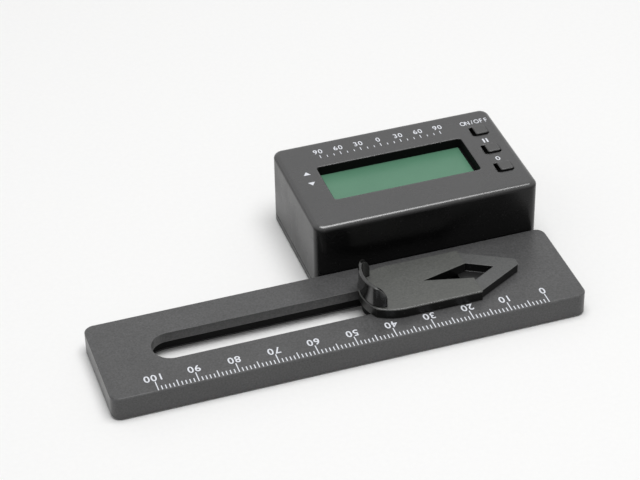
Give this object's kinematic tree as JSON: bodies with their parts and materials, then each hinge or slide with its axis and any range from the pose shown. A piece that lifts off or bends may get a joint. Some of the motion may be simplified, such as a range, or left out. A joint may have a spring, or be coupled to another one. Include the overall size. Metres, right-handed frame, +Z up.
{
  "type": "inclinometer",
  "caption": "Digital pitch gauge: a box with a recessed green display and push keys, fixed behind a slotted ruler arm whose pointer slide has a curved lip.",
  "frame": {"origin": "middle of the footprint, on the surface that the gauge lies on", "axes": "+X along the ruler arm towards its zero end, +Y from the graduated front edge to the back of the box, +Z up"},
  "size_m": [0.1218, 0.0666, 0.0214],
  "materials": {
    "arm_plastic": "fine matt black moulding",
    "case_plastic": "fine matt black moulding",
    "slide_plastic": "satin black moulding",
    "key_plastic": "matt black key caps",
    "screw_steel": "zinc plated screws",
    "cell_wrap": "plain shrink sleeve",
    "contact_metal": "nickel plated spring sheet",
    "board_laminate": "solder mask over glass laminate",
    "lcd_glass": "display glass over a green reflector",
    "lcd_back": "rear display glass",
    "strip_rubber": "conductive elastomer",
    "holder_plastic": "white moulded holder",
    "switch_plastic": "key switch moulding",
    "chip_resin": "moulded chip package",
    "capacitor_ceramic": "fired ceramic with tinned ends",
    "white_print": "white pad print"
  },
  "bodies": {
    "case": {"arm": "arm_plastic", "case_top": "case_plastic", "case_base": "case_plastic", "case_screws": "screw_steel", "board_screws": "screw_steel", "cell_front": "cell_wrap", "cell_rear": "cell_wrap", "cell_link": "contact_metal", "positive_contact": "contact_metal", "negative_contact": "contact_metal", "circuit_board": "board_laminate", "lcd_front_glass": "lcd_glass", "lcd_back_glass": "lcd_back", "lcd_contact_strips": "strip_rubber", "lcd_holder": "holder_plastic", "key_switches": "switch_plastic", "sensor_chip": "chip_resin", "controller_chip": "chip_resin", "chip_capacitors": "capacitor_ceramic", "clock_crystal": "screw_steel"},
    "slide": {"slider_carriage": "slide_plastic", "slider_pad": "slide_plastic", "slider_foot": "slide_plastic", "slider_screws": "screw_steel"},
    "power_key": {"key_power": "key_plastic", "plunger_power": "switch_plastic"},
    "hold_key": {"key_hold": "key_plastic", "plunger_hold": "switch_plastic"},
    "zero_key": {"key_zero": "key_plastic", "plunger_zero": "switch_plastic"},
    "door": {"battery_door": "case_plastic"}
  },
  "joints": [
    {"name": "slide_travel", "type": "slide", "parent": "case", "child": "slide", "axis": [1, 0, 0], "range_m": [-0.0539, 0.0027]},
    {"name": "power_press", "type": "slide", "parent": "case", "child": "power_key", "axis": [0, 0, -1], "range_m": [0, 0.0004], "stiffness_N_per_m": 700},
    {"name": "hold_press", "type": "slide", "parent": "case", "child": "hold_key", "axis": [0, 0, -1], "range_m": [0, 0.0004], "stiffness_N_per_m": 700},
    {"name": "zero_press", "type": "slide", "parent": "case", "child": "zero_key", "axis": [0, 0, -1], "range_m": [0, 0.0004], "stiffness_N_per_m": 700},
    {"name": "door_slide", "type": "slide", "parent": "case", "child": "door", "axis": [0, 1, 0], "range_m": [0, 0.024]}
  ]
}
